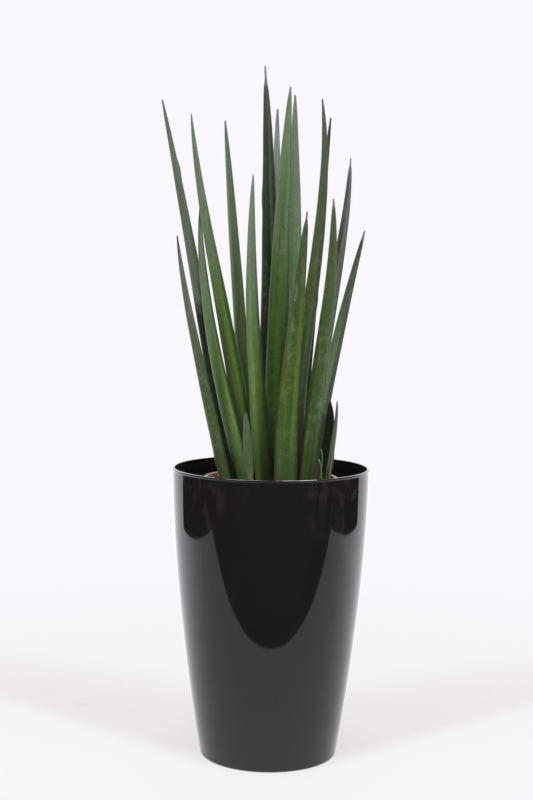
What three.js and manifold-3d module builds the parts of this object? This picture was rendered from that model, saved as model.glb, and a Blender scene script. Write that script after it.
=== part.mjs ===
// Potted snake plant: a clump of stiff, spear-shaped leaves in a nursery pot, which stands on an
// upturned riser pot inside a tall, tapered planter. Millimetres, +Z up, origin at the centre of
// the planter's flat underside.
import * as THREE from 'three';
import { mergeVertices } from 'three/addons/utils/BufferGeometryUtils.js';
import Module from 'manifold-3d';

const wasm = await Module();
wasm.setup();

// ---- Driving dimensions ----------------------------------------------------------------------

const FIT = 0.35; // clearance between pieces that touch
const ROUND_STEPS = 48; // facets round the planter and the pots
const DRAIN_STEPS = 12; // facets round a drain hole

const planter = {
  height: 430,
  rimRadius: 145,
  footRadius: 101.5,
  belly: 1.7, // how quickly the wall steepens towards the rim
  wall: 3,
  floor: 4,
  footRound: 5,
  beadHeight: 4,
  beadProud: 0.8,
};

const growPot = {
  rimRadius: 99.5,
  height: 190,
  taper: 24, // rim radius less the base radius
  wall: 1.6,
  base: 2,
  rimLip: 3.5,
  rimDepth: 12,
  belowPlanterRim: 15,
  drainHoles: 6,
  drainRadius: 5,
  drainCircle: 49,
};

const riserPot = {
  wallGap: 6, // between its open end and the planter wall at the floor
  topRadius: 72,
  wall: 1.6,
  top: 2,
  rimLip: 2.5,
  rimDepth: 10,
  drainHoles: 4,
  drainRadius: 6,
  drainCircle: 43,
};

const soil = {
  belowPotRim: 6,
  mound: 4, // how far the middle stands above the edge
};

const plant = {
  height: 612, // tallest leaf above the soil's edge
  clumpMargin: 7, // bare soil between the outermost foot and the pot wall
  rooted: 22, // how deep each leaf stands in the soil
};

// ---- Sizes that follow from them -------------------------------------------------------------

const growRimZ = planter.height - growPot.belowPlanterRim;
const growBaseZ = growRimZ - growPot.height;
const growBaseRadius = growPot.rimRadius - growPot.taper;
const growBodyRadius = growPot.rimRadius - growPot.rimLip;
const riserTopZ = growBaseZ - FIT;
const riserFootZ = planter.floor + FIT;
const soilEdgeZ = growRimZ - soil.belowPotRim;

function planterRadius(z) {
  const flare = planter.rimRadius - planter.footRadius;
  return planter.rimRadius - flare * (1 - z / planter.height) ** planter.belly;
}

// Outer radius of the grow pot's tapered body at height z.
function growBodyAt(z) {
  const share = (z - growBaseZ) / growPot.height;
  return growBaseRadius + (growBodyRadius - growBaseRadius) * share;
}

const soilEdgeRadius = growBodyAt(soilEdgeZ) - growPot.wall - FIT;
const clumpRadius = soilEdgeRadius - plant.clumpMargin;

// ---- Shared geometry -------------------------------------------------------------------------

const group = new THREE.Group();

const MERGE_DISTANCE = 1e-4;

function toSolid(geometry) {
  const bare = geometry.clone();
  bare.deleteAttribute('normal');
  bare.deleteAttribute('uv');
  const merged = mergeVertices(bare, MERGE_DISTANCE);
  return new wasm.Manifold(new wasm.Mesh({
    numProp: 3,
    vertProperties: new Float32Array(merged.attributes.position.array),
    triVerts: new Uint32Array(merged.index.array),
  }));
}

function toGeometry(solid) {
  const mesh = solid.getMesh();
  const geometry = new THREE.BufferGeometry();
  geometry.setAttribute('position', new THREE.BufferAttribute(mesh.vertProperties, 3));
  geometry.setIndex(new THREE.BufferAttribute(mesh.triVerts, 1));
  geometry.computeVertexNormals();
  return geometry;
}

function addPiece(name, geometry, color, roughness) {
  const material = new THREE.MeshStandardMaterial({ color, roughness, metalness: 0 });
  const mesh = new THREE.Mesh(geometry, material);
  mesh.name = name;
  group.add(mesh);
}

// A turned shape about the Z axis from an outline of [radius, height] points.
function turned(outline) {
  const points = outline.map(([radius, z]) => new THREE.Vector2(radius, z));
  return new THREE.LatheGeometry(points, ROUND_STEPS).rotateX(Math.PI / 2);
}

// A circle of upright drain holes through a base of the given thickness, as one cutter.
function drainCutter(count, radius, circle, middleZ, thickness) {
  const holes = [];
  for (let k = 0; k < count; k += 1) {
    const angle = (2 * Math.PI * k) / count;
    const hole = new THREE.CylinderGeometry(radius, radius, 3 * thickness, DRAIN_STEPS);
    hole.rotateX(Math.PI / 2);
    hole.translate(circle * Math.cos(angle), circle * Math.sin(angle), middleZ);
    holes.push(toSolid(hole));
  }
  return wasm.Manifold.union(holes);
}

// ---- Planter: one moulded shell with a rounded foot and a small bead at the rim ---------------

function planterGeometry() {
  const outline = [[0, 0]];
  const footSteps = 4;
  const wallSteps = 10;
  const wallStart = planter.footRound;
  const cornerRadius = planterRadius(wallStart);
  for (let k = 0; k <= footSteps; k += 1) {
    const angle = (Math.PI / 2) * (k / footSteps);
    outline.push([
      cornerRadius - planter.footRound * (1 - Math.sin(angle)),
      planter.footRound * (1 - Math.cos(angle)),
    ]);
  }
  const beadStart = planter.height - planter.beadHeight;
  for (let k = 1; k <= wallSteps; k += 1) {
    const z = wallStart + (beadStart - wallStart) * (k / wallSteps);
    outline.push([planterRadius(z), z]);
  }
  const beadMiddle = planter.height - planter.beadHeight / 2;
  const lipRound = planter.beadProud;
  outline.push([planter.rimRadius + planter.beadProud, beadMiddle - lipRound]);
  outline.push([planter.rimRadius + planter.beadProud, beadMiddle + lipRound]);
  outline.push([planter.rimRadius - lipRound / 2, planter.height]);
  outline.push([planter.rimRadius - planter.wall + lipRound, planter.height]);
  outline.push([planter.rimRadius - planter.wall, planter.height - lipRound]);
  for (let k = wallSteps - 1; k >= 1; k -= 1) {
    const z = planter.floor + (beadStart - planter.floor) * (k / wallSteps);
    outline.push([planterRadius(z) - planter.wall, z]);
  }
  outline.push([planterRadius(planter.floor) - planter.wall, planter.floor]);
  outline.push([0, planter.floor]);
  return turned(outline);
}

// ---- Riser pot: a spare nursery pot, upside down on the planter's floor -----------------------

function riserPotGeometry() {
  const { wall, top, rimLip, rimDepth } = riserPot;
  const openRadius = planterRadius(riserFootZ) - planter.wall - riserPot.wallGap;
  const bodyRadius = openRadius - rimLip;
  const shell = turned([
    [0, riserTopZ - top],
    [riserPot.topRadius - wall, riserTopZ - top],
    [bodyRadius - wall, riserFootZ + rimDepth],
    [bodyRadius - wall, riserFootZ],
    [openRadius, riserFootZ],
    [openRadius, riserFootZ + rimDepth],
    [bodyRadius, riserFootZ + rimDepth],
    [riserPot.topRadius, riserTopZ],
    [0, riserTopZ],
  ]);
  const holes = drainCutter(
    riserPot.drainHoles, riserPot.drainRadius, riserPot.drainCircle, riserTopZ - top / 2, top);
  return toGeometry(toSolid(shell).subtract(holes));
}

// ---- Grow pot: the nursery pot that the plant was raised in -----------------------------------

function growPotGeometry() {
  const { wall, base, rimRadius, rimDepth } = growPot;
  const lipZ = growRimZ - rimDepth;
  const shell = turned([
    [0, growBaseZ],
    [growBaseRadius, growBaseZ],
    [growBodyAt(lipZ), lipZ],
    [rimRadius, lipZ],
    [rimRadius, growRimZ],
    [growBodyAt(growRimZ) - wall, growRimZ],
    [growBodyAt(growBaseZ + base) - wall, growBaseZ + base],
    [0, growBaseZ + base],
  ]);
  const holes = drainCutter(
    growPot.drainHoles, growPot.drainRadius, growPot.drainCircle, growBaseZ + base / 2, base);
  return toGeometry(toSolid(shell).subtract(holes));
}

// ---- Leaves ----------------------------------------------------------------------------------
// A leaf is a stiff spear, almost round in section, with a shallow channel down the side that
// faces the shoot it grew from. It is at its thickest just above the soil and runs out to a
// hard point.
//   foot, tip  where it leaves the soil and where it ends, in plan
//   reach      its height above the soil's edge
//   bow        how far it swings sideways (+X) off a straight line at a third and two thirds up
//   width      across the channel's two margins, where it is widest
//   shoulder   how far up it keeps that width: 1 tapers from the soil, 2.5 stays wide to the middle
//   facing     the way the channel faces, in degrees from +X
// Places, widths and heights are for a clump that fills a circle of CLUMP_DRAWN, with a tallest
// leaf of REACH_DRAWN, and follow the pot and the plant's height from there.

const CLUMP_DRAWN = 86.4;
const REACH_DRAWN = 612;
const LEAF_SIDES = 12;
const RING_SPACING = 40;
const FEWEST_RINGS = 6;

const LEAF_GREEN = 0x47702f;
const LEAF_GREY_GREEN = 0x607a58;
const LEAF_DARK_GREEN = 0x2a3a22;

const leaves = [
  { name: 'leaf_01', foot: [-64, -32], tip: [-137, -60], reach: 359, bow: [-2, -4],
    width: 26, shoulder: 1.5, facing: 30, color: LEAF_GREY_GREEN },
  { name: 'leaf_02', foot: [-58, 22], tip: [-166, 30], reach: 560, bow: [1, 2],
    width: 27, shoulder: 1.4, facing: 60, color: LEAF_GREY_GREEN },
  { name: 'leaf_03', foot: [-38, -34], tip: [-109, 18], reach: 401, bow: [-11, -13],
    width: 31, shoulder: 1.5, facing: -140, color: LEAF_GREY_GREEN },
  { name: 'leaf_04', foot: [-38, -2], tip: [-121, -14], reach: 535, bow: [5, -2],
    width: 42, shoulder: 1.1, facing: -150, color: LEAF_GREEN },
  { name: 'leaf_05', foot: [-33, 46], tip: [-75, 84], reach: 536, bow: [3, 2],
    width: 25, shoulder: 2, facing: -50, color: LEAF_GREY_GREEN },
  { name: 'leaf_06', foot: [-7, -31], tip: [-30, -62], reach: 446, bow: [-6, -7],
    width: 37, shoulder: 1.3, facing: -35, color: LEAF_GREEN },
  { name: 'leaf_07', foot: [-1, 36], tip: [-15, 40], reach: 612, bow: [6, 6],
    width: 52, shoulder: 1.5, facing: -25, color: LEAF_DARK_GREEN },
  { name: 'leaf_08', foot: [10, 69], tip: [4, 96], reach: 555, bow: [1, -1],
    width: 28, shoulder: 1.6, facing: -85, color: LEAF_GREY_GREEN },
  { name: 'leaf_09', foot: [8, 2], tip: [22, -6], reach: 576, bow: [-5, -5],
    width: 37, shoulder: 1.6, facing: -80, color: LEAF_GREEN },
  { name: 'leaf_10', foot: [28, 46], tip: [30, 74], reach: 574, bow: [4, 2],
    width: 28, shoulder: 2.2, facing: -100, color: LEAF_GREY_GREEN },
  { name: 'leaf_11', foot: [23, -56], tip: [47, -84], reach: 394, bow: [-5, -3],
    width: 44, shoulder: 1.2, facing: -45, color: LEAF_GREEN },
  { name: 'leaf_12', foot: [38, -2], tip: [68, -10], reach: 559, bow: [-2, 10],
    width: 33, shoulder: 1.5, facing: -40, color: LEAF_GREEN },
  { name: 'leaf_13', foot: [39, 70], tip: [85, 104], reach: 544, bow: [-1, -1],
    width: 22, shoulder: 1.6, facing: -60, color: LEAF_DARK_GREEN },
  { name: 'leaf_14', foot: [62, 28], tip: [114, 62], reach: 480, bow: [-7, 1],
    width: 30, shoulder: 2, facing: -40, color: LEAF_GREY_GREEN },
  { name: 'leaf_15', foot: [52, -24], tip: [84, -72], reach: 413, bow: [4, 8],
    width: 35, shoulder: 1.7, facing: -40, color: LEAF_GREEN },
  { name: 'leaf_16', foot: [60, -2], tip: [134, 20], reach: 371, bow: [-6, -5],
    width: 23, shoulder: 1.7, facing: -70, color: LEAF_GREEN },
  // Young leaves of new shoots, just out of the soil.
  { name: 'pup_leaf_pale', foot: [-27, -66], tip: [-37, -71], reach: 109, bow: [-1, -1],
    width: 15, shoulder: 3, narrowFoot: 0.3, thickness: 0.5, facing: -95, color: 0x6d8a72 },
  { name: 'pup_leaf_dark', foot: [82, -6], tip: [86, -10], reach: 121, bow: [1, 1],
    width: 19, shoulder: 3, narrowFoot: 0.5, thickness: 0.5, facing: -110, color: 0x1c2c20 },
  { name: 'pup_leaf_grey', foot: [82, -25], tip: [95, -32], reach: 123, bow: [1, 2],
    width: 11, shoulder: 2, thickness: 0.7, facing: -150, color: 0x7a8a6c },
  // Dry scales that wrapped the young shoot, now curled away from it.
  { name: 'pup_scale_front', foot: [74, -34], tip: [69, -40], reach: 40, bow: [1, 2],
    width: 7, shoulder: 1.5, thickness: 0.5, facing: 20, color: 0x8a8f6a },
  { name: 'pup_scale_back', foot: [72, -17], tip: [72, -24], reach: 52, bow: [1, 3],
    width: 6, shoulder: 1.5, thickness: 0.5, facing: 20, color: 0x8a8f6a },
];

const THICKNESS = 0.8; // a full-grown leaf's thickness as a share of its width
const TAPER_POWER = 0.65; // how blunt the long taper is
const FOOT_SHARE = 0.92; // width at the soil as a share of the widest
const FOOT_RISE = 0.1; // the share of the reach in which the foot reaches full width
const LIP = 0.75; // how far the channel's margins stand forward
const GROOVE = 0.8; // how far the channel's floor is pressed back
const BOW_PEAK = 13.5; // makes the cubic pass through each bow at its third of the reach
const TIP_CROWDING = 1.25; // above 1, the rings lie closer together towards the tip

const clumpScale = clumpRadius / CLUMP_DRAWN;
const reachScale = plant.height / REACH_DRAWN;

// The middle of the leaf at a share of its reach; below the soil it runs straight down.
function leafMiddle(leaf, share) {
  const up = Math.max(share, 0);
  const [low, high] = leaf.bow;
  const swing = BOW_PEAK * up * (up - 1) * (low * (up - 2 / 3) - high * (up - 1 / 3));
  return new THREE.Vector3(
    (leaf.foot[0] + (leaf.tip[0] - leaf.foot[0]) * up + swing) * clumpScale,
    (leaf.foot[1] + (leaf.tip[1] - leaf.foot[1]) * up) * clumpScale,
    soilEdgeZ + leaf.reach * reachScale * share,
  );
}

function leafWidth(leaf, share) {
  const up = Math.max(share, 0);
  const footShare = leaf.narrowFoot ?? FOOT_SHARE;
  const rise = 1 - (1 - footShare) * Math.exp(-up / FOOT_RISE);
  return leaf.width * clumpScale * rise * (1 - up ** leaf.shoulder) ** TAPER_POWER;
}

// One level ring of the leaf. A grown ring stands clear of the leaf and has no channel, which
// is what the hole in the soil needs.
function leafRing(leaf, share, grow) {
  const middle = leafMiddle(leaf, share);
  const halfWidth = leafWidth(leaf, share) / 2;
  const halfDepth = halfWidth * (leaf.thickness ?? THICKNESS);
  const facing = THREE.MathUtils.degToRad(leaf.facing);
  const forward = new THREE.Vector3(Math.cos(facing), Math.sin(facing), 0);
  const across = new THREE.Vector3(-Math.sin(facing), Math.cos(facing), 0);
  const ring = [];
  for (let k = 0; k < LEAF_SIDES; k += 1) {
    const angle = (2 * Math.PI * k) / LEAF_SIDES;
    const rise = Math.sin(angle);
    const channelled = rise > 0 && grow === 0;
    const out = channelled ? LIP * rise - GROOVE * rise ** 3 : rise;
    ring.push(middle.clone()
      .addScaledVector(across, -Math.cos(angle) * (halfWidth + grow))
      .addScaledVector(forward, out * (halfDepth + grow)));
  }
  return ring;
}

// Joins level rings into one closed body; the last ring may be drawn in to a single point.
function loft(rings, point) {
  const sides = rings[0].length;
  const positions = rings.flat().flatMap((p) => [p.x, p.y, p.z]);
  const faces = [];
  for (let r = 0; r + 1 < rings.length; r += 1) {
    for (let k = 0; k < sides; k += 1) {
      const a = r * sides + k;
      const b = r * sides + ((k + 1) % sides);
      faces.push(a, b, b + sides, a, b + sides, a + sides);
    }
  }
  const first = rings[0].reduce((sum, p) => sum.add(p), new THREE.Vector3()).divideScalar(sides);
  const firstIndex = positions.length / 3;
  positions.push(first.x, first.y, first.z);
  const lastIndex = positions.length / 3;
  positions.push(point.x, point.y, point.z);
  const lastRing = (rings.length - 1) * sides;
  for (let k = 0; k < sides; k += 1) {
    const next = (k + 1) % sides;
    faces.push(next, k, firstIndex);
    faces.push(lastRing + k, lastRing + next, lastIndex);
  }
  const geometry = new THREE.BufferGeometry();
  geometry.setAttribute('position', new THREE.Float32BufferAttribute(positions, 3));
  geometry.setIndex(faces);
  geometry.computeVertexNormals();
  return geometry;
}

function leafGeometry(leaf) {
  const rootShare = -plant.rooted / (leaf.reach * reachScale);
  const rings = [leafRing(leaf, rootShare, 0)];
  const count = Math.max(FEWEST_RINGS, Math.round((leaf.reach * reachScale) / RING_SPACING));
  for (let k = 0; k < count; k += 1) {
    const share = 1 - (1 - k / count) ** TIP_CROWDING;
    rings.push(leafRing(leaf, share, 0));
  }
  return loft(rings, leafMiddle(leaf, 1));
}

// The hole that a leaf's rooted end fills in the soil, running out above the mound.
function socketSolid(leaf) {
  const reach = leaf.reach * reachScale;
  const bottom = -(plant.rooted + FIT) / reach;
  const top = (soil.mound + plant.rooted / 2) / reach;
  const rings = [bottom, 0, top].map((share) => leafRing(leaf, share, FIT));
  return toSolid(loft(rings, leafMiddle(leaf, top + FIT / reach)));
}

// ---- Soil: the root ball, which fills the grow pot to just below its rim ----------------------

// The mound's outline, as shares of the soil's radius and of the mound's height.
const MOUND_SHAPE = [[1, 0], [0.8, 0.5], [0.45, 0.9], [0, 1]];

function soilGeometry() {
  const bottomZ = growBaseZ + growPot.base + FIT;
  const bottomRadius = growBodyAt(bottomZ) - growPot.wall - FIT;
  const ball = turned([
    [0, bottomZ],
    [bottomRadius, bottomZ],
    ...MOUND_SHAPE.map(([out, up]) => [soilEdgeRadius * out, soilEdgeZ + soil.mound * up]),
  ]);
  return toGeometry(toSolid(ball).subtract(wasm.Manifold.union(leaves.map(socketSolid))));
}

// ---- The plant, put together -----------------------------------------------------------------

addPiece('planter', planterGeometry(), 0x111011, 0.12);
addPiece('riser_pot', riserPotGeometry(), 0x1b1b1c, 0.55);
addPiece('grow_pot', growPotGeometry(), 0xa5684a, 0.6);
addPiece('soil', soilGeometry(), 0x4a2f22, 0.95);
for (const leaf of leaves) {
  addPiece(leaf.name, leafGeometry(leaf), leaf.color, 0.42);
}

export default group;
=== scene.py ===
# A potted snake plant: a clump of stiff, pointed leaves in a nursery pot, which stands on an
# upturned pot inside a tall, glossy black planter. Metres, +Z up, planter centred on the origin.
import math
import random

import bmesh
import bpy
from mathutils import Matrix, Vector, noise


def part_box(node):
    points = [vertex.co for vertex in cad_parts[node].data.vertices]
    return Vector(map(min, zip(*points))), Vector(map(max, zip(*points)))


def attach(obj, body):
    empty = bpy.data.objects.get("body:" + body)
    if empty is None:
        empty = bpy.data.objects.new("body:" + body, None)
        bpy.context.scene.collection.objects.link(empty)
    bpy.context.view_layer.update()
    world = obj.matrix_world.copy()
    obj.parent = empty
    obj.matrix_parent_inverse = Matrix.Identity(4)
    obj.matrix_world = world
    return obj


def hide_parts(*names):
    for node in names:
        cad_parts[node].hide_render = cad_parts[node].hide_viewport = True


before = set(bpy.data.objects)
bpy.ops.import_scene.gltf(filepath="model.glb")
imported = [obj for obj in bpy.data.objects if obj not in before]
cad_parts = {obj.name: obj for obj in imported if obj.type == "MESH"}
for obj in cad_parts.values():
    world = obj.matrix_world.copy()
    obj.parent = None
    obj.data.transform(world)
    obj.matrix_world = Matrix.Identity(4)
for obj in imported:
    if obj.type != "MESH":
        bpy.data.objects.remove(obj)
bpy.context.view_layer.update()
MM = 0.001


# ---- Planter ---------------------------------------------------------------------------------
# One injection-moulded shell in black plastic, polished so that it mirrors the floor. The wall
# flares from a small rounded foot, steeper and steeper, up to a thin bead round the mouth.

PLANTER_WALL = 3 * MM
PLANTER_FLOOR = 4 * MM
PLANTER_FOOT_RADIUS = 101.5 * MM
PLANTER_FOOT_ROUND = 5 * MM
PLANTER_BELLY = 1.7
PLANTER_CORNER = 3 * MM    # the slope between the inner wall and the floor
BEAD_PROUD = 0.8 * MM
BEAD_HEIGHT = 4 * MM
BEAD_ROUND = 1.4 * MM
BEAD_DROP = 1.6 * MM       # from the mouth down to the middle of the bead's round
MOUTH_ROUND = 0.9 * MM
CLOSE_RINGS = (0.5 * MM, 0.15 * MM, 0.0)
GLOSS_INSIDE = 3 * MM      # how far the gloss runs down inside the mouth
WALL_STEPS = 40
TURN_STEPS = 160
PLANTER_BLACK = (0.0088, 0.0078, 0.0080, 1)
PLANTER_INSIDE_BLACK = (0.0135, 0.0120, 0.0130, 1)
PLANTER_DUST = (0.16, 0.15, 0.14, 1)

planter_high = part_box("planter")[1]
planter_height = planter_high.z
planter_rim = planter_high.x - BEAD_PROUD


def planter_radius(z):
    """Outer radius of the planter's wall at height z."""
    flare = planter_rim - PLANTER_FOOT_RADIUS
    return planter_rim - flare * (1 - z / planter_height) ** PLANTER_BELLY


def arc(centre, radius, start, end, steps):
    """Outline points on part of a circle, angles in degrees from the +radius direction."""
    points = []
    for k in range(steps + 1):
        angle = math.radians(start + (end - start) * k / steps)
        points.append((centre[0] + radius * math.cos(angle), centre[1] + radius * math.sin(angle)))
    return points


def turn(outline, steps=TURN_STEPS):
    """A bmesh turned about the Z axis from an outline of (radius, height) points."""
    bm = bmesh.new()
    verts = [bm.verts.new((radius, 0, z)) for radius, z in outline]
    edges = [bm.edges.new(pair) for pair in zip(verts, verts[1:])]
    bmesh.ops.spin(bm, geom=verts + edges, cent=(0, 0, 0), axis=(0, 0, 1),
                   angle=math.tau, steps=steps, use_merge=True)
    bmesh.ops.remove_doubles(bm, verts=bm.verts, dist=1e-6)
    bmesh.ops.recalc_face_normals(bm, faces=bm.faces)
    return bm


def make_piece(name, bm, material, smooth=True):
    """Turns a finished bmesh into an object of the scene that rides on the root body."""
    mesh = bpy.data.meshes.new(name)
    for face in bm.faces:
        face.smooth = smooth
    bm.to_mesh(mesh)
    bm.free()
    mesh.materials.append(material)
    piece = bpy.data.objects.new(name, mesh)
    bpy.context.scene.collection.objects.link(piece)
    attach(piece, "root")
    return piece


def new_tree(material):
    """Empties a material's node tree and returns the tree with its Principled BSDF."""
    material.use_nodes = True
    tree = material.node_tree
    tree.nodes.clear()
    output = tree.nodes.new("ShaderNodeOutputMaterial")
    shader = tree.nodes.new("ShaderNodeBsdfPrincipled")
    tree.links.new(shader.outputs["BSDF"], output.inputs["Surface"])
    return tree, shader


def feed(tree, node, inputs):
    """Gives a node its inputs, each a plain value or another node's output."""
    for key, value in inputs.items():
        if isinstance(value, bpy.types.NodeSocket):
            tree.links.new(value, node.inputs[key])
        else:
            node.inputs[key].default_value = value


def add_node(tree, kind, inputs=None, **settings):
    """Adds a shader node with its settings and inputs."""
    node = tree.nodes.new(kind)
    for key, value in settings.items():
        setattr(node, key, value)
    feed(tree, node, inputs or {})
    return node


def ramp(tree, value, low, high, to_low=0.0, to_high=1.0):
    """Value mapped smoothly from low..high to to_low..to_high, and held outside it."""
    node = add_node(tree, "ShaderNodeMapRange", interpolation_type="SMOOTHSTEP", inputs={
        "Value": value, "From Min": low, "From Max": high, "To Min": to_low, "To Max": to_high})
    return node.outputs["Result"]


def calc(tree, operation, first, second=0.0, third=0.0):
    """One step of arithmetic on shader values."""
    return add_node(tree, "ShaderNodeMath", operation=operation,
                    inputs={0: first, 1: second, 2: third}).outputs[0]


def blend_colour(tree, share, first, second, mode="MIX"):
    """The first colour with a share, 0 to 1, of the second mixed or multiplied into it."""
    node = add_node(tree, "ShaderNodeMix", data_type="RGBA", blend_type=mode,
                    inputs={0: share, 6: first, 7: second})
    return node.outputs[2]


def object_place(tree):
    return tree.nodes.new("ShaderNodeTexCoord").outputs["Object"]


def noise_value(tree, place, scale, detail=3.0, roughness=0.55, stretch=(1, 1, 1), shift=(0, 0, 0)):
    """Noise from 0 to 1 at a place, with the pattern stretched along the axes."""
    mapped = add_node(tree, "ShaderNodeMapping",
                      inputs={"Vector": place, "Scale": stretch, "Location": shift})
    node = add_node(tree, "ShaderNodeTexNoise", inputs={
        "Vector": mapped.outputs[0], "Scale": scale, "Detail": detail, "Roughness": roughness})
    return node.outputs["Fac"]


def new_group(name, inputs, outputs):
    """A shader node group with named sockets; returns it with its input and output nodes."""
    group = bpy.data.node_groups.new(name, "ShaderNodeTree")
    for socket, kind in inputs:
        group.interface.new_socket(name=socket, in_out="INPUT", socket_type=kind)
    for socket, kind in outputs:
        group.interface.new_socket(name=socket, in_out="OUTPUT", socket_type=kind)
    return group, group.nodes.new("NodeGroupInput"), group.nodes.new("NodeGroupOutput")


def place_group(tree, group, inputs):
    """Places a finished node group in a material."""
    node = tree.nodes.new("ShaderNodeGroup")
    node.node_tree = group
    feed(tree, node, inputs)
    return node


def build_handling_wear():
    """Dust, rubbed patches and the slow waviness of moulded plastic, used on the pots."""
    group, given, result = new_group(
        "handling_wear",
        [("Place", "NodeSocketVector"), ("Dust", "NodeSocketFloat"), ("Rub", "NodeSocketFloat")],
        [("Dust Mask", "NodeSocketFloat"), ("Rub Mask", "NodeSocketFloat"),
         ("Height", "NodeSocketFloat")])
    place = given.outputs["Place"]
    specks = noise_value(group, place, 900, detail=1.0)
    patches = noise_value(group, place, 14, detail=3.0)
    speck_mask = ramp(group, specks, 0.70, 0.78)
    patch_mask = ramp(group, patches, 0.45, 0.75)
    dust = calc(group, "MULTIPLY", calc(group, "MULTIPLY", speck_mask, patch_mask),
                given.outputs["Dust"])
    group.links.new(dust, result.inputs["Dust Mask"])
    rubbed = noise_value(group, place, 60, detail=4.0, stretch=(1, 1, 0.25))
    rub = calc(group, "MULTIPLY", ramp(group, rubbed, 0.5, 0.8), given.outputs["Rub"])
    group.links.new(rub, result.inputs["Rub Mask"])
    group.links.new(noise_value(group, place, 11, detail=1.0), result.inputs["Height"])
    return group


handling_wear = build_handling_wear()


def planter_material(name, black, roughness):
    """Polished black plastic with a little dust, faint rubbed patches and slow waves."""
    material = bpy.data.materials.new(name)
    tree, shader = new_tree(material)
    wear = place_group(tree, handling_wear,
                       {"Place": object_place(tree), "Dust": 0.5, "Rub": 0.6})
    colour = blend_colour(tree, wear.outputs["Dust Mask"], black, PLANTER_DUST)
    rough = calc(tree, "MULTIPLY_ADD", wear.outputs["Rub Mask"], 0.05, roughness)
    bump = add_node(tree, "ShaderNodeBump", inputs={
        "Strength": 0.06, "Distance": 0.0015, "Height": wear.outputs["Height"]})
    tree.links.new(colour, shader.inputs["Base Color"])
    tree.links.new(rough, shader.inputs["Roughness"])
    tree.links.new(bump.outputs["Normal"], shader.inputs["Normal"])
    shader.inputs["IOR"].default_value = 1.5
    return material


def planter_outline():
    """Half the planter's section: out along the foot, up the wall, over the bead and back down
    inside to the middle of the floor."""
    start = planter_radius(PLANTER_FOOT_ROUND)
    bead_low = planter_height - BEAD_HEIGHT
    points = [(0, 0)]
    points += arc((start - PLANTER_FOOT_ROUND, PLANTER_FOOT_ROUND), PLANTER_FOOT_ROUND, -90, 0, 8)
    for k in range(1, WALL_STEPS):
        z = PLANTER_FOOT_ROUND + (bead_low - PLANTER_FOOT_ROUND) * k / WALL_STEPS
        points.append((planter_radius(z), z))
    # Close rings under the bead keep the wall's shading straight right up to it.
    for gap in CLOSE_RINGS:
        points.append((planter_radius(bead_low - gap), bead_low - gap))
    # The bead is a half-round lip, and the mouth's inner edge is rounded off.
    points.append((planter_rim + 0.1 * MM, bead_low + 0.25 * MM))
    bead_middle = planter_rim + BEAD_PROUD - BEAD_ROUND
    points += arc((bead_middle, planter_height - BEAD_DROP), BEAD_ROUND, -25, 80, 8)
    mouth_middle = planter_rim - PLANTER_WALL + 0.8 * MM
    points += arc((mouth_middle, planter_height - 1.0 * MM), MOUTH_ROUND, 95, 180, 5)
    for k in range(WALL_STEPS, 0, -1):
        z = PLANTER_FLOOR + (bead_low - PLANTER_FLOOR) * k / WALL_STEPS
        points.append((planter_radius(z) - PLANTER_WALL, z))
    floor_edge = planter_radius(PLANTER_FLOOR) - PLANTER_WALL - PLANTER_CORNER
    points += [(floor_edge, PLANTER_FLOOR), (0, PLANTER_FLOOR)]
    return points


def planter_shell():
    """The turned shell, with the faces of its duller inner wall marked as the second material."""
    bm = turn(planter_outline())
    for face in bm.faces:
        middle = face.calc_center_median()
        inner = planter_radius(middle.z) - PLANTER_WALL / 2
        deep = PLANTER_FLOOR / 2 < middle.z < planter_height - GLOSS_INSIDE
        face.material_index = int(deep and math.hypot(middle.x, middle.y) < inner)
    return bm


planter = make_piece("planter_shell", planter_shell(),
                     planter_material("planter_gloss", PLANTER_BLACK, 0.045))
planter.data.materials.append(planter_material("planter_inside", PLANTER_INSIDE_BLACK, 0.3))
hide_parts("planter")


# ---- Riser pot -------------------------------------------------------------------------------
# A spare nursery pot in thin black plastic, set upside down on the planter's floor to lift the
# plant. It is hidden inside, so the solid it was designed as is shown with its own finish.

POTTING_DUST = (0.5, 0.45, 0.4, 1)


def nursery_plastic(name, colour, grime_colour, grime, roughness):
    """Thin, dull moulded plastic, with dried water marks and grime."""
    material = bpy.data.materials.new(name)
    tree, shader = new_tree(material)
    place = object_place(tree)
    wear = place_group(tree, handling_wear, {"Place": place, "Dust": 1.0, "Rub": 1.0})
    marks = ramp(tree, noise_value(tree, place, 45, detail=5.0), 0.5, 0.72)
    mask = calc(tree, "MULTIPLY", marks, grime)
    tone = blend_colour(tree, mask, colour, grime_colour)
    tone = blend_colour(tree, wear.outputs["Dust Mask"], tone, POTTING_DUST)
    rough = calc(tree, "MULTIPLY_ADD", wear.outputs["Rub Mask"], 0.12, roughness)
    bump = add_node(tree, "ShaderNodeBump", inputs={
        "Strength": 0.2, "Distance": 0.001, "Height": marks})
    tree.links.new(tone, shader.inputs["Base Color"])
    tree.links.new(rough, shader.inputs["Roughness"])
    tree.links.new(bump.outputs["Normal"], shader.inputs["Normal"])
    return material


riser_black = nursery_plastic("riser_black_plastic", (0.02, 0.02, 0.02, 1),
                              (0.08, 0.065, 0.05, 1), 0.5, 0.5)
riser_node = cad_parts["riser_pot"]
riser_node.data.materials.clear()
riser_node.data.materials.append(riser_black)


# ---- Grow pot --------------------------------------------------------------------------------
# The nursery pot that the plant was raised in: thin terracotta-coloured plastic with a stiff
# turned-down rim, a tapered body and drain holes in its base.

GROW_WALL = 1.6 * MM
GROW_BASE = 2 * MM
GROW_LIP = 3.5 * MM
GROW_RIM_DEPTH = 12 * MM
GROW_TAPER = 24 * MM
GROW_FOOT_ROUND = 2 * MM
GROW_RIM_ROUND = 0.8 * MM
DRAIN_HOLES = 6
DRAIN_RADIUS = 5 * MM
DRAIN_CIRCLE = 49 * MM

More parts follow.
